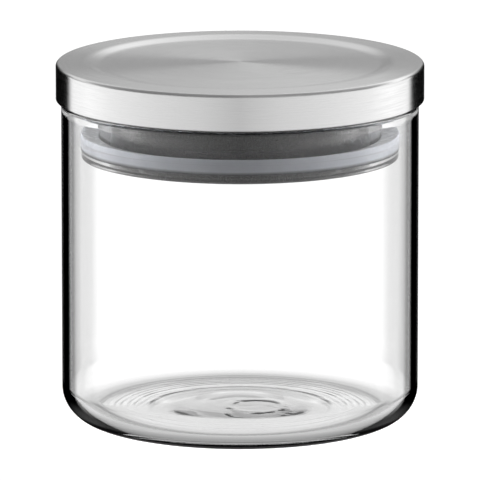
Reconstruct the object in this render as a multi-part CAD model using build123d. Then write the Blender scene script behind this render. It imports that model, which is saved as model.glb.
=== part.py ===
from build123d import *
import os

# Lidded glass canister, in millimetres.
# +Z is up the axis of the jar, and the origin is the middle of the base on the table.

# Glass jar
jar_radius = 51.0            # outside of the straight wall
jar_height = 92.2            # table to the top of the rim
glass_wall = 2.1
base_corner = 9.8            # outside radius between wall and base
base_thickness = 3.2
push_up_radius = 26.5        # edge of the hollow under the base
push_up_height = 1.4

# Steel cap
cap_overhang = 1.5           # how far the skirt stands out past the glass
cap_height = 10.8            # lower edge of the skirt to the crest of the top
sheet = 0.6
cap_edge_radius = 1.3
top_band = 8.8               # outside of the cap in to the crest, the highest ring of the top
crest_rise = 0.33            # crest above the inner end of the rounded edge
dish_slope = 3.5             # crest in to the foot of the dish's wall
dish_depth = 0.85
dish_crown = 0.6             # middle of the dish above its edge

# Clear sleeve
edge_reveal = 0.5            # flange seen below the steel skirt
top_flange_thickness = 2.2
neck_wall = 3.2
neck_length = 8.4            # rim down to the top of the seal
lower_flange_reach = 0.1     # lower flange out past the seal
lower_flange_thickness = 2.4

# Dark core cup
core_wall = 1.6
core_lip_reach = 6.0         # lip that hangs the cup on the sleeve
core_lip_thickness = 1.4

# Silicone seal
seal_width = 5.2             # body of the ring, without its lip
seal_height = 4.65
seal_rounding = 0.7
lip_reach = 3.2
lip_root = 2.0               # thickness of the lip where it leaves the ring
lip_tip = 0.7
lip_drop = 1.7               # top of the ring down to the top of the lip's root
lip_rise = 0.9               # the lip slopes up to the glass

# Fits
rest_gap = 0.2               # lid above the rim
sleeve_gap = 0.3             # cap over flange, and core in sleeve
seal_gap = 0.2               # ring round the neck
glass_gap = 0.3              # lip to the glass
cap_gap = 0.2                # core below the cap

# Levels and radii that follow from them
jar_bore = jar_radius - glass_wall
cap_radius = jar_radius + cap_overhang
crest_radius = cap_radius - top_band
dish_radius = crest_radius - dish_slope
lip_radius = jar_bore - glass_gap
seal_radius = lip_radius - lip_reach
lower_flange_radius = seal_radius + lower_flange_reach
neck_radius = seal_radius - seal_width - seal_gap
flange_bottom = jar_height + rest_gap
flange_top = flange_bottom + top_flange_thickness
skirt_bottom = flange_bottom + edge_reveal
crest_top = skirt_bottom + cap_height
edge_top = crest_top - crest_rise
dish_edge = crest_top - dish_depth
dish_middle = dish_edge + dish_crown
seal_top = jar_height - neck_length
seal_bottom = seal_top - seal_height
sleeve_bottom = seal_bottom - lower_flange_thickness
core_radius = neck_radius - neck_wall - sleeve_gap
core_top = dish_edge - sheet - cap_gap


def glass_jar():
    """Straight wall, round corner, pushed-up base and a fully rounded rim."""
    rim_centre = jar_height - glass_wall / 2
    inner_corner = base_corner - glass_wall
    foot_radius = jar_radius - base_corner
    with BuildPart() as jar:
        with BuildSketch(Plane.XZ):
            with BuildLine():
                Spline((0, push_up_height), (push_up_radius, 0), tangents=[(1, 0), (1, 0)])
                Line((push_up_radius, 0), (foot_radius, 0))
                RadiusArc((foot_radius, 0), (jar_radius, base_corner), -base_corner)
                Line((jar_radius, base_corner), (jar_radius, rim_centre))
                ThreePointArc(
                    (jar_radius, rim_centre),
                    (jar_radius - glass_wall / 2, jar_height),
                    (jar_bore, rim_centre),
                )
                Line((jar_bore, rim_centre), (jar_bore, base_thickness + inner_corner))
                RadiusArc(
                    (jar_bore, base_thickness + inner_corner),
                    (jar_bore - inner_corner, base_thickness),
                    inner_corner,
                )
                Line((jar_bore - inner_corner, base_thickness), (push_up_radius, base_thickness))
                Spline(
                    (push_up_radius, base_thickness),
                    (0, base_thickness + push_up_height),
                    tangents=[(-1, 0), (-1, 0)],
                )
                Line((0, base_thickness + push_up_height), (0, push_up_height))
            make_face()
        revolve(axis=Axis.Z)
    return jar.part


def cap_solid(inset, bottom):
    """The cap's outside shape, filled, or the same shape drawn in by the sheet."""
    radius = cap_radius - inset
    corner = cap_edge_radius - inset
    with BuildPart() as filled:
        with BuildSketch(Plane.XZ):
            with BuildLine():
                Line((0, bottom), (radius, bottom))
                Line((radius, bottom), (radius, edge_top - inset - corner))
                RadiusArc(
                    (radius, edge_top - inset - corner), (radius - corner, edge_top - inset), -corner
                )
                Line((radius - corner, edge_top - inset), (crest_radius, crest_top - inset))
                Spline(
                    (crest_radius, crest_top - inset),
                    (dish_radius, dish_edge - inset),
                    tangents=[(-1, 0), (-1, 0)],
                )
                Spline(
                    (dish_radius, dish_edge - inset),
                    (0, dish_middle - inset),
                    tangents=[(-1, 0), (-1, 0)],
                )
                Line((0, dish_middle - inset), (0, bottom))
            make_face()
        revolve(axis=Axis.Z)
    return filled.part


def steel_cap():
    """Pressed sheet: the outside shape less the same shape one sheet further in."""
    cap = cap_solid(0, skirt_bottom) - cap_solid(sheet, skirt_bottom - 1)
    lower_edges = cap.edges().filter_by(GeomType.CIRCLE).group_by(Axis.Z)[0]
    return fillet(lower_edges, sheet * 0.4)


def clear_sleeve():
    """Ring with a wide top flange, a neck and a lower flange under the seal."""
    inner = neck_radius - neck_wall
    flange_radius = cap_radius - sheet - sleeve_gap
    with BuildPart() as sleeve:
        with BuildSketch(Plane.XZ):
            with BuildLine():
                Polyline(
                    (inner, sleeve_bottom),
                    (lower_flange_radius, sleeve_bottom),
                    (lower_flange_radius, seal_bottom),
                    (neck_radius, seal_bottom),
                    (neck_radius, flange_bottom),
                    (flange_radius, flange_bottom),
                    (flange_radius, flange_top),
                    (inner, flange_top),
                    close=True,
                )
            make_face()
        revolve(axis=Axis.Z)
        outside = sleeve.edges().filter_by(GeomType.CIRCLE).sort_by(SortBy.RADIUS)
        fillet(outside.filter_by(lambda edge: edge.radius > neck_radius), min(0.4, edge_reveal * 0.8))
    return sleeve.part


def core_cup():
    """Closed at the bottom, hung by its lip on the sleeve, with its wall up to the cap."""
    hang_radius = core_radius + core_lip_reach
    lip_top = flange_top + core_lip_thickness
    with BuildPart() as core:
        with BuildSketch(Plane.XZ):
            with BuildLine():
                Polyline(
                    (0, sleeve_bottom),
                    (core_radius, sleeve_bottom),
                    (core_radius, flange_top),
                    (hang_radius, flange_top),
                    (hang_radius, lip_top),
                    (core_radius, lip_top),
                    (core_radius, core_top),
                    (core_radius - core_wall, core_top),
                    (core_radius - core_wall, sleeve_bottom + core_wall),
                    (0, sleeve_bottom + core_wall),
                    close=True,
                )
            make_face()
        revolve(axis=Axis.Z)
    return core.part


def seal_ring():
    """Rounded ring in the groove, with one thin lip that slopes up to the glass."""
    inner = neck_radius + seal_gap
    root_top = seal_top - lip_drop
    tip_top = root_top + lip_rise
    with BuildPart() as seal:
        with BuildSketch(Plane.XZ):
            with BuildLine():
                Polyline(
                    (inner, seal_bottom),
                    (seal_radius, seal_bottom),
                    (seal_radius, root_top - lip_root),
                    (lip_radius, tip_top - lip_tip),
                    (lip_radius, tip_top),
                    (seal_radius, root_top),
                    (seal_radius, seal_top),
                    (inner, seal_top),
                    close=True,
                )
            make_face()
        revolve(axis=Axis.Z)
        levels = seal.edges().filter_by(GeomType.CIRCLE).group_by(Axis.Z)
        outer_edges = [level.sort_by(SortBy.RADIUS)[-1] for level in (levels[0], levels[-1])]
        fillet(outer_edges, seal_rounding)
    return seal.part


pieces = {
    "glass_jar": glass_jar(),
    "steel_cap": steel_cap(),
    "clear_sleeve": clear_sleeve(),
    "core_cup": core_cup(),
    "seal_ring": seal_ring(),
}

os.makedirs("parts", exist_ok=True)
for name, piece in pieces.items():
    export_step(piece, f"parts/{name}.step")
    print(name, "volume", round(piece.volume / 1000, 2), "cm3")
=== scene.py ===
import math

import bmesh
import bpy
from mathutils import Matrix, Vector


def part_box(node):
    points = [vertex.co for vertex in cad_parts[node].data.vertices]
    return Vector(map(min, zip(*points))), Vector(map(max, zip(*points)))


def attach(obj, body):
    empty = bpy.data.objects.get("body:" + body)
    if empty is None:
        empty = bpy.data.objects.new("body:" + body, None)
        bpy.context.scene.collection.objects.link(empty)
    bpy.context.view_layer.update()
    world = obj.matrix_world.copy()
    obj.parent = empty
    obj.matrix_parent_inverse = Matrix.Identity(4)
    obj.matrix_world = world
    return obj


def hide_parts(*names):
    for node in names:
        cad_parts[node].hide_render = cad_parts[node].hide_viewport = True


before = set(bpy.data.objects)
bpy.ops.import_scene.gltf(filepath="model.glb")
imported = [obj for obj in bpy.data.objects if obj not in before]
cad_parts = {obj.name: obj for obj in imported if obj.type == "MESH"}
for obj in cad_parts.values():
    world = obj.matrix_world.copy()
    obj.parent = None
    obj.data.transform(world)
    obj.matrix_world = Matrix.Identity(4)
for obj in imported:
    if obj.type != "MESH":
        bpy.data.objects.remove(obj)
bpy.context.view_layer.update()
mm = 0.001
smoothAngle = 40  # degrees, below which an edge is shaded smooth
mixA, mixB, mixOut = 6, 7, 2  # the colour sockets of a Mix node
noiseLow, noiseHigh = 0.3, 0.7  # most of a noise texture lies between these


def hexColour(code):  # sRGB hex to the linear values that nodes take
    parts = [int(code[i:i + 2], 16) / 255 for i in (1, 3, 5)]
    return [p / 12.92 if p <= 0.04045 else ((p + 0.055) / 1.055) ** 2.4 for p in parts] + [1.0]


def addNode(tree, kind, inputs=None, **settings):  # a node with its settings, values and links
    node = tree.nodes.new(kind)
    for name, value in settings.items():
        setattr(node, name, value)
    for socket, value in (inputs or {}).items():
        if isinstance(value, bpy.types.NodeSocket):
            tree.links.new(value, node.inputs[socket])
        else:
            node.inputs[socket].default_value = value
    return node


def newMaterial(name):
    material = bpy.data.materials.new(name)
    material.use_nodes = True
    tree = material.node_tree
    tree.nodes.clear()
    shader = addNode(tree, "ShaderNodeBsdfPrincipled")
    addNode(tree, "ShaderNodeOutputMaterial", {"Surface": shader.outputs["BSDF"]})
    return material, tree, shader


# A finish is a surface's grain: its size and depth in mm, how far it is stretched upwards, and the least and
# most roughness
def addFinish(tree, shader, finish):
    where = addNode(tree, "ShaderNodeTexCoord")
    place = addNode(
        tree, "ShaderNodeMapping",
        {"Vector": where.outputs["Object"], "Scale": (1, 1, 1 / finish["stretch"])},
    )
    grain = addNode(
        tree, "ShaderNodeTexNoise",
        {"Vector": place.outputs[0], "Scale": 1 / (finish["size"] * mm), "Detail": 3.0},
    )
    if finish["rough"]:
        least, most = finish["rough"]
        level = addNode(
            tree, "ShaderNodeMapRange",
            {"Value": grain.outputs["Fac"], "From Min": noiseLow, "From Max": noiseHigh,
             "To Min": least, "To Max": most},
        )
        tree.links.new(level.outputs[0], shader.inputs["Roughness"])
    if finish["depth"]:
        bump = addNode(
            tree, "ShaderNodeBump",
            {"Height": grain.outputs["Fac"], "Strength": 1.0, "Distance": finish["depth"] * mm},
        )
        tree.links.new(bump.outputs["Normal"], shader.inputs["Normal"])
    return where


def selectOnly(piece):
    bpy.ops.object.select_all(action="DESELECT")
    piece.select_set(True)
    bpy.context.view_layer.objects.active = piece


# Lathe: every piece is a section drawn in edit mode, rounded at its corners and spun round the axis
lathe = {
    "holdGap": 0.15,  # mm from the end of a long straight run to the edge that holds its shading
    "longRun": 1.5,  # mm
    "mergeGap": 0.002,  # mm
}


def pickVertex(piece, radius, height):  # selects the drawn point nearest to a corner
    mesh = bmesh.from_edit_mesh(piece.data)
    corner = Vector((radius * mm, 0, height * mm))
    nearest = min(mesh.verts, key=lambda v: (v.co - corner).length)
    for vertex in mesh.verts:
        vertex.select = vertex is nearest
    mesh.select_flush_mode()
    bmesh.update_edit_mesh(piece.data)


def holdRuns(corners):  # an edge near each end of a long straight run keeps the roundings smoothly shaded
    held = [corners[0]]
    for before, after in zip(corners, corners[1:]):
        across, up = after[0] - before[0], after[1] - before[1]
        run = math.hypot(across, up)
        if run - before[2] - after[2] > lathe["longRun"]:
            for gap in (before[2] + lathe["holdGap"], run - after[2] - lathe["holdGap"]):
                part = gap / run
                held.append((before[0] + across * part, before[1] + up * part, 0, 0))
        held.append(after)
    return held


def turnOnLathe(name, corners, closed, around):  # corners are (radius, height, rounding, steps) in mm
    corners = holdRuns(corners)
    bpy.ops.object.select_all(action="DESELECT")
    bpy.ops.mesh.primitive_plane_add(size=mm, location=(0, 0, 0))
    piece = bpy.context.object
    piece.name = name
    bpy.ops.object.mode_set(mode="EDIT")
    bpy.ops.mesh.select_mode(type="VERT")
    bpy.ops.mesh.select_all(action="SELECT")
    bpy.ops.mesh.merge(type="CENTER")  # one point to draw the section with
    bpy.ops.transform.translate(value=(corners[0][0] * mm, 0, corners[0][1] * mm))
    for before, after in zip(corners, corners[1:]):
        step = ((after[0] - before[0]) * mm, 0, (after[1] - before[1]) * mm)
        bpy.ops.mesh.extrude_region_move(TRANSFORM_OT_translate={"value": step})
    if closed:
        mesh = bmesh.from_edit_mesh(piece.data)
        for vertex in mesh.verts:
            vertex.select = len(vertex.link_edges) == 1
        mesh.select_flush_mode()
        bmesh.update_edit_mesh(piece.data)
        bpy.ops.mesh.edge_face_add()
    for radius, height, rounding, steps in corners:
        if rounding:
            pickVertex(piece, radius, height)
            bpy.ops.mesh.bevel(affect="VERTICES", offset=rounding * mm, segments=steps, profile=0.5)
    bpy.ops.mesh.select_all(action="SELECT")
    bpy.ops.mesh.spin(steps=around, angle=2 * math.pi, center=(0, 0, 0), axis=(0, 0, 1))
    bpy.ops.mesh.select_all(action="SELECT")
    bpy.ops.mesh.remove_doubles(threshold=lathe["mergeGap"] * mm)
    bpy.ops.mesh.normals_make_consistent(inside=False)
    bpy.ops.object.mode_set(mode="OBJECT")
    print("turned", name, len(piece.data.vertices), "points")
    return piece


def finishPiece(piece, material, node, body):
    selectOnly(piece)
    bpy.ops.object.shade_smooth_by_angle(angle=math.radians(smoothAngle))
    piece.data.materials.clear()
    piece.data.materials.append(material)
    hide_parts(node)
    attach(piece, body)


# Glass jar: clear blown glass, fire-polished rim, a base that is thicker and a little uneven
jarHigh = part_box("glass_jar")[1]
jar = {
    "radius": jarHigh.x / mm,
    "height": jarHigh.z / mm,
    "wall": 2.1,
    "corner": 9.8,
    "cornerSteps": 24,
    "rimSteps": 8,
    "base": 3.2,
    "pushUp": 1.4,
    "pushUpRadius": 26.5,
    "pushUpFlat": 12.0,
    "pushUpRounding": (5, 12),  # here and below a rounding goes with its number of steps
    "bead": 0.2,  # the rim is thicker inside by this much
    "beadHeight": 2.6,
    "beadRounding": (0.5, 6),
    "around": 360,
    "floorSteps": (0.3, 0.8),  # mm between the floor's points, outside and inside the push-up
    "fineInside": 4.0,  # how far the fine steps go on inside the push-up
    "ripples": [  # radius, height and width
        (26.5, 0.06, 0.9), (22.0, -0.04, 1.8), (17.0, 0.02, 1.8), (9.0, 0.05, 1.6),
    ],
    "rings": {"from": 28.0, "fadeIn": 3.0, "spacing": 1.9, "height": 0.024},  # faint rings from blowing
    "slowRings": (0.6, 0.43),  # a second set of rings: its height and frequency against the first
    "button": (4.6, -5.7, 8.0),  # place and radius of the mark left where the base was closed
    "buttonRise": 0.12,
    "buttonWidth": (0.5, 1.8),  # to each side: its crest, and the slopes beyond
    "floorZone": (3.0, 8.0),  # heights between which only the floor has points near the axis
    "colour": "#FFFFFF",
    "ior": 1.47,
    "finish": {"size": 24.0, "stretch": 3.0, "rough": None, "depth": 0.02},  # long upright swells in the wall
}


def floorHeight(radius):  # the floor swells up to its middle, with faint rings from blowing
    part = min(max((radius - jar["pushUpFlat"]) / (jar["pushUpRadius"] - jar["pushUpFlat"]), 0), 1)
    swell = jar["pushUp"] * (1 - part * part * (3 - 2 * part))
    ripples = sum(lift * math.exp(-((radius - at) / width) ** 2) for at, lift, width in jar["ripples"])
    rings = jar["rings"]
    fade = min(max((radius - rings["from"]) / rings["fadeIn"], 0), 1)
    turns = 2 * math.pi * radius / rings["spacing"]
    share, pace = jar["slowRings"]
    return swell + ripples + rings["height"] * fade * (math.sin(turns) + share * math.sin(pace * turns))


def buildJar():
    bore = jar["radius"] - jar["wall"]
    rim = jar["wall"] / 2
    inner = jar["corner"] - jar["wall"]
    neck = bore - jar["bead"]
    beadLow = jar["height"] - jar["beadHeight"]
    under = [
        (0, jar["pushUp"], 0, 0),
        (jar["pushUpFlat"], jar["pushUp"], *jar["pushUpRounding"]),
        (jar["pushUpRadius"], 0, *jar["pushUpRounding"]),
    ]
    sides = [
        (jar["radius"], 0, jar["corner"], jar["cornerSteps"]),
        (jar["radius"], jar["height"], rim, jar["rimSteps"]),
        (neck, jar["height"], rim, jar["rimSteps"]),
        (neck, jar["height"] - jar["beadHeight"] / 2, *jar["beadRounding"]),
        (bore, beadLow, *jar["beadRounding"]),
        (bore, jar["base"], inner, jar["cornerSteps"]),
    ]
    fine, coarse = jar["floorSteps"]
    radii = [bore - inner - fine]
    while radii[-1] > coarse:
        radii.append(radii[-1] - (fine if radii[-1] > jar["pushUpRadius"] - jar["fineInside"] else coarse))
    radii[-1] = 0
    floor = [(radius, jar["base"] + floorHeight(radius), 0, 0) for radius in radii]
    return turnOnLathe("jar_glass", under + sides + floor, False, jar["around"])


def pressButton(piece):  # the round mark in the floor, a little off the middle
    x, y, radius = jar["button"]
    crest, slopes = jar["buttonWidth"]
    low, high = jar["floorZone"]
    selectOnly(piece)
    bpy.ops.object.mode_set(mode="EDIT")
    mesh = bmesh.from_edit_mesh(piece.data)
    for vertex in mesh.verts:
        away = math.hypot(vertex.co.x / mm - x, vertex.co.y / mm - y)
        vertex.select = low < vertex.co.z / mm < high and abs(away - radius) < crest
    mesh.select_flush_mode()
    bmesh.update_edit_mesh(piece.data)
    bpy.ops.transform.translate(
        value=(0, 0, jar["buttonRise"] * mm), use_proportional_edit=True,
        proportional_edit_falloff="SMOOTH", proportional_size=slopes * mm,
    )
    bpy.ops.object.mode_set(mode="OBJECT")
    return piece


def clearGlass():  # borosilicate, blown: no colour, sharp reflections, dark where it curves away
    material, tree, shader = newMaterial("BlownBorosilicateGlass")
    shader.inputs["Base Color"].default_value = hexColour(jar["colour"])
    shader.inputs["Roughness"].default_value = 0.0
    shader.inputs["IOR"].default_value = jar["ior"]
    shader.inputs["Transmission Weight"].default_value = 1.0
    addFinish(tree, shader, jar["finish"])
    return material


# Steel cap: pressed sheet, brushed round the axis
capLow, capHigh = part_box("steel_cap")
cap = {
    "radius": capHigh.x / mm,
    "bottom": capLow.z / mm,
    "top": capHigh.z / mm,
    "sheet": 0.6,
    "lowerEdge": (0.27, 4),
    "edge": 0.95,
    "edgeSteps": (10, 6),  # outside and inside
    "crest": 43.7,
    "crestRise": 0.33,
    "dish": 40.2,
    "dishDepth": 0.85,
    "dishRounding": (0.9, 8),  # of the crest and the dish
    "dishRoundingInside": (1.2, 8),
    "crown": 16.0,  # radius within which the dish is flat
    "crownRise": 0.6,
    "crownRounding": (12, 10),
    "around": 360,
    "dark": "#CDCDCD",
    "light": "#E5E5E5",
    "rough": (0.17, 0.27),
    "anisotropy": 0.95,
    "brushTurn": 0.25,  # a quarter turn, so that highlights spread across the brush lines
    "brush": [(7, 0.22), (22, 0.7)],  # length and width of the lines in mm, coarser than real so they show
    "brushRange": (0.7, 1.3),  # two noises added up lie between these
    "topBrush": 0.3,  # brush marks on the top against those on the skirt
    "topFrom": (1.6, 0.2),  # mm in from the outside, where the top's finish ends and the skirt's is full
    "scratch": 0.0015,  # depth in mm
}


def buildCap():
    sheet = cap["sheet"]
    shoulder = cap["top"] - cap["crestRise"]
    dish = cap["top"] - cap["dishDepth"]
    crown = dish + cap["crownRise"]
    stepsOutside, stepsInside = cap["edgeSteps"]
    outside = [
        (cap["radius"], cap["bottom"], *cap["lowerEdge"]),
        (cap["radius"], shoulder, cap["edge"], stepsOutside),
        (cap["crest"], cap["top"], *cap["dishRounding"]),
        (cap["dish"], dish, *cap["dishRounding"]),
        (cap["crown"], crown, *cap["crownRounding"]),
        (0, crown, 0, 0),
    ]
    inside = [
        (0, crown - sheet, 0, 0),
        (cap["crown"], crown - sheet, *cap["crownRounding"]),
        (cap["dish"], dish - sheet, *cap["dishRoundingInside"]),
        (cap["crest"], cap["top"] - sheet, *cap["dishRoundingInside"]),
        (cap["radius"] - sheet, shoulder - sheet, cap["edge"] - sheet, stepsInside),
        (cap["radius"] - sheet, cap["bottom"], *cap["lowerEdge"]),
    ]
    return turnOnLathe("cap_steel", inside + outside, True, cap["around"])


def brushedSteel():  # fine rings left by a brush on a turning cap: streaked, no clear mirror image
    material, tree, shader = newMaterial("BrushedStainlessSteel")
    shader.inputs["Metallic"].default_value = 1.0
    shader.inputs["Anisotropic"].default_value = cap["anisotropy"]
    shader.inputs["Anisotropic Rotation"].default_value = cap["brushTurn"]
    tangent = addNode(tree, "ShaderNodeTangent", direction_type="RADIAL", axis="Z")
    tree.links.new(tangent.outputs["Tangent"], shader.inputs["Tangent"])
    # brush lines run round the axis, so the pattern is long in the turn and short across it
    where = addNode(tree, "ShaderNodeTexCoord")
    axes = addNode(tree, "ShaderNodeSeparateXYZ", {0: where.outputs["Object"]})
    flat = addNode(tree, "ShaderNodeCombineXYZ", {"X": axes.outputs["X"], "Y": axes.outputs["Y"]})
    radius = addNode(tree, "ShaderNodeVectorMath", {0: flat.outputs[0]}, operation="LENGTH")
    turn = addNode(tree, "ShaderNodeVectorMath", {0: flat.outputs[0]}, operation="NORMALIZE")
    across = addNode(
        tree, "ShaderNodeMath", {0: axes.outputs["Z"], 1: radius.outputs["Value"]}, operation="SUBTRACT"
    )
    streaks = []
    for length, width in cap["brush"]:
        lengthwise = addNode(
            tree, "ShaderNodeVectorMath", {0: turn.outputs[0], "Scale": cap["radius"] / length},
            operation="SCALE",
        )
        widthwise = addNode(
            tree, "ShaderNodeMath", {0: across.outputs[0], 1: 1 / (width * mm)}, operation="MULTIPLY"
        )
        crosswise = addNode(tree, "ShaderNodeCombineXYZ", {"Z": widthwise.outputs[0]})
        place = addNode(
            tree, "ShaderNodeVectorMath", {0: lengthwise.outputs[0], 1: crosswise.outputs[0]}, operation="ADD"
        )
        streaks.append(addNode(
            tree, "ShaderNodeTexNoise",
            {"Vector": place.outputs[0], "Scale": 1.0, "Detail": 2.0, "Roughness": 0.6},
        ))
    both = addNode(
        tree, "ShaderNodeMath", {0: streaks[0].outputs["Fac"], 1: streaks[1].outputs["Fac"]}, operation="ADD"
    )
    # the top is polished finer than the skirt
    topEnds, skirtStarts = [(cap["radius"] - inwards) * mm for inwards in cap["topFrom"]]
    strength = addNode(
        tree, "ShaderNodeMapRange",
        {"Value": radius.outputs["Value"], "From Min": topEnds, "From Max": skirtStarts,
         "To Min": cap["topBrush"], "To Max": 1.0},
    )
    centred = addNode(tree, "ShaderNodeMath", {0: both.outputs[0], 1: 1.0}, operation="SUBTRACT")
    marks = addNode(
        tree, "ShaderNodeMath", {0: centred.outputs[0], 1: strength.outputs[0], 2: 1.0},
        operation="MULTIPLY_ADD",
    )
    faint, strong = cap["brushRange"]
    shade = addNode(
        tree, "ShaderNodeMapRange", {"Value": marks.outputs[0], "From Min": faint, "From Max": strong}
    )
    colour = addNode(
        tree, "ShaderNodeMix",
        {"Factor": shade.outputs[0], mixA: hexColour(cap["dark"]), mixB: hexColour(cap["light"])},
        data_type="RGBA",
    )
    tree.links.new(colour.outputs[mixOut], shader.inputs["Base Color"])
    least, most = cap["rough"]
    rough = addNode(
        tree, "ShaderNodeMapRange",
        {"Value": marks.outputs[0], "From Min": faint, "From Max": strong, "To Min": least, "To Max": most},
    )
    tree.links.new(rough.outputs[0], shader.inputs["Roughness"])
    bump = addNode(
        tree, "ShaderNodeBump",
        {"Height": marks.outputs[0], "Strength": 1.0, "Distance": cap["scratch"] * mm},
    )
    tree.links.new(bump.outputs["Normal"], shader.inputs["Normal"])
    return material


# Clear sleeve: moulded plastic, top flange on the rim, lower flange under the seal
sleeveLow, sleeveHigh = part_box("clear_sleeve")
sleeve = {
    "flange": sleeveHigh.x / mm,
    "top": sleeveHigh.z / mm,
    "bottom": sleeveLow.z / mm,
    "flangeThick": 2.2,
    "neck": 40.0,
    "neckWall": 3.2,
    "lower": 45.2,
    "lowerThick": 2.4,
    "edge": 0.4,
    "shownEdge": 0.4 / 3,  # sharper where the flange shows below the skirt
    "edgeSteps": (4, 6),  # of the roundings near the axis and at the outside
    "around": 300,
    "colour": "#FAFAFA",
    "ior": 1.57,
    "specular": 0.15,
    "finish": {"size": 5.0, "stretch": 1.0, "rough": (0.01, 0.04), "depth": 0.0006},  # flow marks
}


def buildSleeve():
    inner = sleeve["neck"] - sleeve["neckWall"]
    under = sleeve["top"] - sleeve["flangeThick"]
    shelf = sleeve["bottom"] + sleeve["lowerThick"]
    edge = sleeve["edge"]
    few, many = sleeve["edgeSteps"]
    corners = [
        (inner, sleeve["bottom"], edge, few),
        (sleeve["lower"], sleeve["bottom"], edge, many),
        (sleeve["lower"], shelf, 0, 0),
        (sleeve["neck"], shelf, 0, 0),
        (sleeve["neck"], under, edge, few),
        (sleeve["flange"], under, sleeve["shownEdge"], many),
        (sleeve["flange"], sleeve["top"], edge, many),
        (inner, sleeve["top"], edge, few),
    ]
    return turnOnLathe("sleeve_clear", corners, True, sleeve["around"])


def clearPlastic():  # moulded clear plastic: glossy, a little denser than glass
    material, tree, shader = newMaterial("MouldedClearPlastic")
    shader.inputs["Base Color"].default_value = hexColour(sleeve["colour"])
    shader.inputs["IOR"].default_value = sleeve["ior"]
    shader.inputs["Transmission Weight"].default_value = 1.0
    shader.inputs["Specular IOR Level"].default_value = sleeve["specular"]
    addFinish(tree, shader, sleeve["finish"])
    return material


# Core cup: dark plastic, closes the stopper
coreLow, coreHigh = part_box("core_cup")
core = {
    "lip": coreHigh.x / mm,
    "bottom": coreLow.z / mm,
    "top": coreHigh.z / mm,
    "radius": 36.5,
    "wall": 1.6,
    "lipBottom": sleeveHigh.z / mm,
    "lipThick": 1.4,
    "footRounding": (0.5, 4),
    "lipRounding": (0.3, 3),
    "around": 240,
    "colour": "#161616",
    "ior": 1.54,
    "finish": {"size": 0.5, "stretch": 1.0, "rough": (0.2, 0.32), "depth": 0.003},  # of a spark-eroded mould
}


def buildCore():
    inner = core["radius"] - core["wall"]
    lipTop = core["lipBottom"] + core["lipThick"]
    floor = core["bottom"] + core["wall"]
    corners = [
        (0, core["bottom"], 0, 0),
        (core["radius"], core["bottom"], *core["footRounding"]),
        (core["radius"], core["lipBottom"], 0, 0),
        (core["lip"], core["lipBottom"], *core["lipRounding"]),
        (core["lip"], lipTop, *core["lipRounding"]),
        (core["radius"], lipTop, 0, 0),
        (core["radius"], core["top"], *core["lipRounding"]),
        (inner, core["top"], *core["lipRounding"]),
        (inner, floor, *core["footRounding"]),
        (0, floor, 0, 0),
    ]
    return turnOnLathe("core_dark", corners, False, core["around"])


def darkPlastic():  # moulded dark plastic: a soft gloss that shows only where light grazes it
    material, tree, shader = newMaterial("MouldedDarkPlastic")
    shader.inputs["Base Color"].default_value = hexColour(core["colour"])
    shader.inputs["IOR"].default_value = core["ior"]
    addFinish(tree, shader, core["finish"])
    return material


# Seal ring: translucent silicone, a rounded band with one thin lip that reaches the glass
sealLow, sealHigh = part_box("seal_ring")
seal = {
    "lip": sealHigh.x / mm,
    "bottom": sealLow.z / mm,
    "top": sealHigh.z / mm,
    "seat": 0.02,  # clear of the flange
    "inner": 40.2,
    "radius": 45.4,
    "dip": 1.2,  # the top face falls towards the neck
    "topRounding": (0.35, 8),
    "footRounding": (0.15, 8),
    "innerRounding": (0.2, 3),
    "lipDrop": 1.7,
    "lipRoot": 0.12,
    "lipTip": 0.02,
    "lipRise": 0.65,
    "lipInset": 0.3,  # let into the band
    "around": 300,
    "dark": "#DFE2EA",
    "light": "#E7EAF1",
    "clouds": 6.0,  # mm from one cloud in the silicone to the next
    # painted shade: darkens the band's colour towards its lower edge
    "paintedEdgeShade": 0.12,  # what is left of the colour at the lower edge
    "edgeZone": (0.3, 1.2),  # mm above the bottom, from shaded to full colour
    "ior": 1.41,
    "specular": 0.15,
    "finish": {"size": 1.5, "stretch": 1.0, "rough": (0.22, 0.3), "depth": 0},
    "lipCover": 0.1,  # share of light that one face of the thin lip stops
    "lipFinish": {"size": 3.0, "stretch": 1.0, "rough": (0.22, 0.3), "depth": 0},
}


def buildSealBand():
    foot = seal["bottom"] + seal["seat"]
    corners = [
        (seal["inner"], foot, 0, 0),
        (seal["radius"], foot, *seal["footRounding"]),
        (seal["radius"], seal["top"], *seal["topRounding"]),
        (seal["inner"], seal["top"] - seal["dip"], *seal["innerRounding"]),
    ]
    return turnOnLathe("seal_band", corners, True, seal["around"])


def buildSealLip():
    root = seal["radius"] - seal["lipInset"]
    rootTop = seal["top"] - seal["lipDrop"]
    tipTop = rootTop + seal["lipRise"]
    corners = [
        (root, rootTop - seal["lipRoot"], 0, 0),
        (seal["lip"], tipTop - seal["lipTip"], 0, 0),
        (seal["lip"], tipTop, 0, 0),
        (root, rootTop, 0, 0),
    ]
    return turnOnLathe("seal_lip", corners, True, seal["around"])


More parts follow.
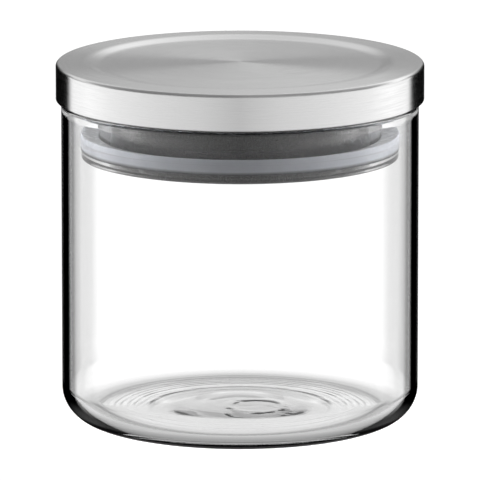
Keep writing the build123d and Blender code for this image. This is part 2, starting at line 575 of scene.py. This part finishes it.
def milkySilicone():  # moulded silicone: milky and faintly clouded, a little blue, with a soft sheen
    material, tree, shader = newMaterial("MouldedTranslucentSilicone")
    shader.inputs["IOR"].default_value = seal["ior"]
    shader.inputs["Specular IOR Level"].default_value = seal["specular"]
    where = addFinish(tree, shader, seal["finish"])
    cloud = addNode(
        tree, "ShaderNodeTexNoise",
        {"Vector": where.outputs["Object"], "Scale": 1 / (seal["clouds"] * mm), "Detail": 2.0},
    )
    milk = addNode(
        tree, "ShaderNodeMix",
        {"Factor": cloud.outputs["Fac"], mixA: hexColour(seal["dark"]), mixB: hexColour(seal["light"])},
        data_type="RGBA",
    )
    # painted shade: the colour darkens towards the lower edge, standing in for the flange's shade there
    shaded, full = [(seal["bottom"] + height) * mm for height in seal["edgeZone"]]
    axes = addNode(tree, "ShaderNodeSeparateXYZ", {0: where.outputs["Object"]})
    lit = addNode(
        tree, "ShaderNodeMapRange",
        {"Value": axes.outputs["Z"], "From Min": shaded, "From Max": full,
         "To Min": seal["paintedEdgeShade"], "To Max": 1.0},
    )
    colour = addNode(
        tree, "ShaderNodeVectorMath", {0: milk.outputs[mixOut], "Scale": lit.outputs[0]}, operation="SCALE"
    )
    tree.links.new(colour.outputs[0], shader.inputs["Base Color"])
    return material


def thinSilicone():  # the same silicone where it is thin: a faint veil that does not bend light
    material, tree, shader = newMaterial("MouldedThinSilicone")
    shader.inputs["Base Color"].default_value = hexColour(seal["dark"])
    shader.inputs["IOR"].default_value = seal["ior"]
    shader.inputs["Specular IOR Level"].default_value = 0.0
    shader.inputs["Alpha"].default_value = seal["lipCover"]
    addFinish(tree, shader, seal["lipFinish"])
    return material


# Studio: pale floor, white background, soft side light with dark flags that draw the glass edges
studio = {
    "floorSize": 8.0,  # metres
    "floorDrop": 0.2,  # mm, clear of the glass, which would flicker on it
    "floorColour": "#F2F2F2",
    "floorGlow": 0.7,
    # painted shadow on the table: the share of light left by mm from the axis, up to footReach
    "footReach": 60.0,
    "foot": [  # under and round the jar
        (0, 0.62), (10, 0.68), (20, 0.84), (36, 0.82), (39, 0.7), (40.6, 0.44), (41.3, 0.28), (42, 0.26),
        (43.5, 0.4), (45, 0.5), (46, 0.62), (47, 0.62), (50, 0.8), (56, 1.0),
    ],
    "footMirrored": [  # as the outside of the glass mirrors it
        (43, 0.5), (45, 0.4), (45.8, 0.03), (47.5, 0.03), (49, 0.6), (56, 1.0),
    ],
    "footEdge": 58.0,  # mm from the axis, as far as the table is bright in reflections inside the glass wall
    "once": 0.5,  # a ray's depth is above this when it was mirrored, scattered or let through at least once
    "deep": 2.5,  # its transmission depth is above this when it has gone through the wall into the jar
    "background": "#FFFFFF",
    "strength": 10.0,  # of the world, whose colours hold the brightness below divided by it
    # brightness by degrees from straight behind: white card, dark flags, side lights, dim front
    "ring": [  # in reflections
        (0, 1.0), (5, 1.0), (9, 0.0), (44, 0.0), (49, 1.4), (60, 1.4), (71, 1.5), (90, 1.42),
        (110, 1.32), (130, 1.22), (155, 1.1), (180, 0.86),
    ],
    "cardRepeat": 45.0,  # degrees, after which the card comes again
    "card": [  # straight through the glass
        (0, 1.15), (3.9, 1.12), (4.9, 0.98), (5.9, 0.85), (7.5, 0.9), (8.3, 0.7), (9.6, 0.45), (11.5, 0.33),
        (14, 0.06), (18, 0.0),
    ],
    "wall": [  # in reflections inside the glass wall
        (0, 0.6), (5, 0.3), (8, 0.1), (12, 0.0), (29, 0.0), (31, 0.1), (33, 0.5), (35, 0.8), (38, 0.5),
        (50, 0.5), (55, 0.15), (66, 0.15), (72, 1.0), (180, 0.2),
    ],
    "field": [  # in reflections on what is in the jar
        (0, 0.45), (40, 0.45), (60, 0.6), (72, 1.2), (86, 1.1), (98, 0.7), (112, 0.55), (130, 0.38),
        (155, 0.2), (180, 0.14),
    ],
    "soft": [  # light that soft surfaces take through the glass
        (0, 1.6), (30, 2.4), (55, 4.8), (88, 5.3), (102, 3.0), (115, 1.4), (140, 0.28), (180, 0.14),
    ],
    # brightness by degrees from behind, over the top, to the front
    "dome": [  # in reflections
        (0, 0.2), (4, 0.3), (7, 0.39), (9, 0.4), (13, 0.45), (16.5, 0.6), (20, 0.8), (28, 1.15), (38, 1.2),
        (48, 0.75), (60, 0.5), (80, 0.4), (100, 0.33), (130, 0.3), (180, 0.4),
    ],
    "domeSeen": [  # through the glass
        (0, 1.0), (5, 1.0), (10, 0.72), (14, 0.5), (22, 0.36), (80, 0.36), (112, 0.36), (120, 2.0),
        (145, 2.0), (155, 0.25), (180, 0.25),
    ],
    # heights and sideways reaches below are parts of a direction one long
    "lean": 0.16,  # the top light is stronger on the right
    "leanReach": 0.12,
    # share of the top light that the flags let by, by degrees from straight behind, and where they end
    "flags": [(0, 1), (10, 1), (15, 0), (44, 0), (49, 1)],
    "flagTop": (0.12, 0.42),
    "skyline": (-0.04, 0.1),  # from the lights all round to the light above
    "softTop": (0.7, 3.0),  # soft light grows from nothing up to this height, to this many times its list
    "tableLine": (-0.3, -0.6),  # from the lights all round to the table
    "table": 0.4,  # what shines up from the white table
    "tableSeen": 1.0,  # through the glass
    "tableSoft": 0.1,  # on soft surfaces behind the glass
    "tableFar": 0.1,  # in reflections inside the glass wall, away from the foot
}


def fillRamp(node, stops):  # stops are (place from 0 to 1, brightness)
    ramp = node.color_ramp
    while len(ramp.elements) > 1:
        ramp.elements.remove(ramp.elements[-1])
    for number, (place, value) in enumerate(stops):
        element = ramp.elements[0] if number == 0 else ramp.elements.new(place)
        element.position = place
        element.color = (value, value, value, 1)


def buildFloor():
    bpy.ops.object.select_all(action="DESELECT")
    bpy.ops.mesh.primitive_plane_add(size=studio["floorSize"], location=(0, 0, 0))
    bpy.ops.object.mode_set(mode="EDIT")
    bpy.ops.transform.translate(value=(0, 0, -studio["floorDrop"] * mm))
    bpy.ops.object.mode_set(mode="OBJECT")
    floor = bpy.context.object
    floor.name = "floor"
    material = bpy.data.materials.new("PaintedPaleFloor")
    material.use_nodes = True
    tree = material.node_tree
    tree.nodes.clear()
    path = addNode(tree, "ShaderNodeLightPath")
    passing = path.outputs["Is Transmission Ray"]
    # the camera sees the floor as white as the background, with the shadow left in
    paint = addNode(tree, "ShaderNodeBsdfDiffuse", {"Color": hexColour(studio["floorColour"])})
    glow = addNode(tree, "ShaderNodeEmission", {"Strength": studio["floorGlow"]})
    lit = addNode(tree, "ShaderNodeAddShader", {0: paint.outputs[0], 1: glow.outputs[0]})
    plain = addNode(
        tree, "ShaderNodeMixShader",
        {0: path.outputs["Is Camera Ray"], 1: paint.outputs[0], 2: lit.outputs[0]},
    )
    # in reflections and through glass it shows as the studio light, with a painted shadow that darkens it
    # where the jar's foot meets it
    where = addNode(tree, "ShaderNodeTexCoord")
    radius = addNode(tree, "ShaderNodeVectorMath", {0: where.outputs["Object"]}, operation="LENGTH")
    out01 = addNode(
        tree, "ShaderNodeMath", {0: radius.outputs["Value"], 1: studio["footReach"] * mm}, operation="DIVIDE"
    )
    ramps = {}
    for name in ("foot", "footMirrored"):
        ramp = addNode(tree, "ShaderNodeValToRGB", {"Fac": out01.outputs[0]})
        fillRamp(ramp, [(place / studio["footReach"], value) for place, value in studio[name]])
        ramps[name] = ramp.outputs["Color"]
    tests = {}
    for name, value, limit, operation in (
        ("outside", path.outputs["Transmission Depth"], studio["once"], "LESS_THAN"),
        ("shallow", path.outputs["Transmission Depth"], studio["deep"], "LESS_THAN"),
        ("mirrored", path.outputs["Glossy Depth"], studio["once"], "GREATER_THAN"),
        ("near", radius.outputs["Value"], studio["footEdge"] * mm, "LESS_THAN"),
    ):
        tests[name] = addNode(tree, "ShaderNodeMath", {0: value, 1: limit}, operation=operation).outputs[0]
    shade = addNode(
        tree, "ShaderNodeMix",
        {"Factor": tests["outside"], mixA: ramps["foot"], mixB: ramps["footMirrored"]}, data_type="RGBA",
    )
    through = addNode(tree, "ShaderNodeBsdfTransparent", {"Color": shade.outputs[mixOut]})
    # what is mirrored inside the glass wall finds the table as a painted glow, bright only round the foot and
    # carrying the painted shadow
    inWall = passing
    for name in ("mirrored", "shallow", "near"):
        inWall = addNode(tree, "ShaderNodeMath", {0: inWall, 1: tests[name]}, operation="MULTIPLY").outputs[0]
    bright = addNode(
        tree, "ShaderNodeEmission", {"Color": shade.outputs[mixOut], "Strength": studio["tableSeen"]}
    )
    clear = addNode(tree, "ShaderNodeMixShader", {0: inWall, 1: through.outputs[0], 2: bright.outputs[0]})
    either = addNode(
        tree, "ShaderNodeMath", {0: passing, 1: path.outputs["Is Glossy Ray"]}, operation="MAXIMUM"
    )
    seen = addNode(
        tree, "ShaderNodeMixShader", {0: either.outputs[0], 1: plain.outputs[0], 2: clear.outputs[0]}
    )
    addNode(tree, "ShaderNodeOutputMaterial", {"Surface": seen.outputs[0]})
    floor.data.materials.append(material)


def buildWorld():
    world = bpy.data.worlds.new("studio")
    bpy.context.scene.world = world
    world.use_nodes = True
    tree = world.node_tree
    tree.nodes.clear()
    strength = studio["strength"]
    where = addNode(tree, "ShaderNodeTexCoord")
    axes = addNode(tree, "ShaderNodeSeparateXYZ", {0: where.outputs["Generated"]})
    x, y, z = [axes.outputs[name] for name in "XYZ"]
    # turn is the angle from straight behind, away is the same to both sides, and repeat is that of the cards
    turn = addNode(tree, "ShaderNodeMath", {0: x, 1: y}, operation="ARCTAN2")
    away = addNode(tree, "ShaderNodeMath", {0: turn.outputs[0]}, operation="ABSOLUTE")
    halfway = math.radians(studio["cardRepeat"] / 2)
    repeat = addNode(tree, "ShaderNodeMath", {0: turn.outputs[0], 1: halfway}, operation="PINGPONG")
    # rise is the angle from behind, over the top, to the front
    rise = addNode(tree, "ShaderNodeMath", {0: z, 1: y}, operation="ARCTAN2")
    away01, repeat01, rise01 = [
        addNode(tree, "ShaderNodeMath", {0: angle.outputs[0], 1: math.pi}, operation="DIVIDE").outputs[0]
        for angle in (away, repeat, rise)
    ]
    ramps = {}
    for name, angle01 in (
        ("ring", away01), ("wall", away01), ("field", away01), ("soft", away01),
        ("card", repeat01), ("dome", rise01), ("domeSeen", rise01),
    ):
        ramp = addNode(tree, "ShaderNodeValToRGB", {"Fac": angle01})
        fillRamp(ramp, [(degrees / 180, value / strength) for degrees, value in studio[name]])
        ramps[name] = ramp.outputs["Color"]
    path = addNode(tree, "ShaderNodeLightPath")
    passing = path.outputs["Is Transmission Ray"]
    once, deepFrom = studio["once"], studio["deep"]
    mirrored, scattered, deep = [
        addNode(
            tree, "ShaderNodeMath", {0: path.outputs[depth], 1: limit}, operation="GREATER_THAN"
        ).outputs[0]
        for depth, limit in (
            ("Glossy Depth", once), ("Diffuse Depth", once), ("Transmission Depth", deepFrom),
        )
    ]
    # all round: what is mirrored in the jar, in its wall, seen straight through, and mirrored outside
    level = ramps["field"]
    for kept, other in ((deep, ramps["wall"]), (mirrored, ramps["card"]), (passing, ramps["ring"])):
        level = addNode(
            tree, "ShaderNodeMix", {"Factor": kept, mixA: other, mixB: level}, data_type="RGBA"
        ).outputs[mixOut]
    # above: a light that leans to one side, with the dark flags standing up beside the card
    lean = addNode(
        tree, "ShaderNodeMapRange",
        {"Value": x, "From Min": -studio["leanReach"], "From Max": studio["leanReach"],
         "To Min": 1 - studio["lean"], "To Max": 1 + studio["lean"]},
    )
    flag = addNode(tree, "ShaderNodeValToRGB", {"Fac": away01})
    fillRamp(flag, [(degrees / 180, value) for degrees, value in studio["flags"]])
    flagLow, flagHigh = studio["flagTop"]
    over = addNode(tree, "ShaderNodeMapRange", {"Value": z, "From Min": flagLow, "From Max": flagHigh})
    clear = addNode(
        tree, "ShaderNodeMath", {0: flag.outputs["Color"], 1: over.outputs[0]}, operation="MAXIMUM"
    )
    share = addNode(tree, "ShaderNodeMath", {0: lean.outputs[0], 1: clear.outputs[0]}, operation="MULTIPLY")
    leaning = addNode(
        tree, "ShaderNodeVectorMath", {0: ramps["dome"], "Scale": share.outputs[0]}, operation="SCALE"
    )
    overhead = addNode(
        tree, "ShaderNodeMix",
        {"Factor": passing, mixA: leaning.outputs[0], mixB: ramps["domeSeen"]}, data_type="RGBA",
    )
    # soft surfaces behind the glass take light that grows with height
    softly = addNode(tree, "ShaderNodeMath", {0: scattered, 1: passing}, operation="MULTIPLY")
    softHeight, softShare = studio["softTop"]
    height = addNode(
        tree, "ShaderNodeMapRange",
        {"Value": z, "From Min": 0.0, "From Max": softHeight, "To Min": 0.0, "To Max": softShare},
    )
    soft = addNode(
        tree, "ShaderNodeVectorMath", {0: ramps["soft"], "Scale": height.outputs[0]}, operation="SCALE"
    )
    # below: the table, by how it is seen
    greys = {
        name: [studio[name] / strength] * 3 + [1] for name in ("table", "tableSeen", "tableSoft", "tableFar")
    }
    inWall = addNode(tree, "ShaderNodeMath", {0: mirrored, 1: deep}, operation="SUBTRACT", use_clamp=True)
    table = greys["tableSeen"]
    for chosen, grey in ((scattered, greys["tableSoft"]), (inWall.outputs[0], greys["tableFar"])):
        table = addNode(
            tree, "ShaderNodeMix", {"Factor": chosen, mixA: table, mixB: grey}, data_type="RGBA"
        ).outputs[mixOut]
    table = addNode(
        tree, "ShaderNodeMix", {"Factor": passing, mixA: greys["table"], mixB: table}, data_type="RGBA"
    )
    above, below = [
        addNode(
            tree, "ShaderNodeMapRange", {"Value": z, "From Min": start, "From Max": end},
            interpolation_type="SMOOTHSTEP",
        )
        for start, end in (studio["skyline"], studio["tableLine"])
    ]
    around = level
    for chosen, light in (
        (above, overhead.outputs[mixOut]), (softly, soft.outputs[0]), (below, table.outputs[mixOut]),
    ):
        around = addNode(
            tree, "ShaderNodeMix", {"Factor": chosen.outputs[0], mixA: around, mixB: light}, data_type="RGBA"
        ).outputs[mixOut]
    studioLight = addNode(tree, "ShaderNodeBackground", {"Color": around, "Strength": strength})
    white = addNode(tree, "ShaderNodeBackground", {"Color": hexColour(studio["background"]), "Strength": 1.0})
    mixed = addNode(
        tree, "ShaderNodeMixShader",
        {0: path.outputs["Is Camera Ray"], 1: studioLight.outputs[0], 2: white.outputs[0]},
    )
    addNode(tree, "ShaderNodeOutputWorld", {"Surface": mixed.outputs[0]})


# Camera: the photograph's long lens, a little above the object and aimed near its middle
view = {
    "elevation": 11.396,  # degrees
    "distance": 2.350,  # metres, to the point on the axis that it aims at
    "aim": 0.050,  # height of that point
    "aimPixel": 245.79,  # row of the photograph in which that point lies
    "pixelsPerMetre": 3499.0,
    "frame": 480,  # pixels
    "sensor": 36.0,  # mm
    "clipEnd": 100.0,  # metres
}


def buildCamera():
    lens = bpy.data.cameras.new("camera")
    camera = bpy.data.objects.new("camera", lens)
    bpy.context.scene.collection.objects.link(camera)
    tilt = math.radians(view["elevation"])
    back = Vector((0, -math.cos(tilt), math.sin(tilt)))
    up = Vector((0, math.sin(tilt), math.cos(tilt)))
    lift = (view["aimPixel"] - view["frame"] / 2) / view["pixelsPerMetre"]
    camera.location = Vector((0, 0, view["aim"])) + up * lift + back * view["distance"]
    camera.rotation_euler = (math.pi / 2 - tilt, 0, 0)
    lens.sensor_width = view["sensor"]
    lens.lens = view["sensor"] * view["distance"] * view["pixelsPerMetre"] / view["frame"]
    lens.clip_end = view["clipEnd"]
    bpy.context.scene.camera = camera


finishPiece(pressButton(buildJar()), clearGlass(), "glass_jar", "jar")
finishPiece(buildCap(), brushedSteel(), "steel_cap", "lid")
finishPiece(buildSleeve(), clearPlastic(), "clear_sleeve", "lid")
finishPiece(buildCore(), darkPlastic(), "core_cup", "lid")
finishPiece(buildSealBand(), milkySilicone(), "seal_ring", "lid")
finishPiece(buildSealLip(), thinSilicone(), "seal_ring", "lid")
print("pieces done")
buildFloor()
buildWorld()
buildCamera()
bpy.context.scene.view_settings.view_transform = "Standard"
print("studio done")
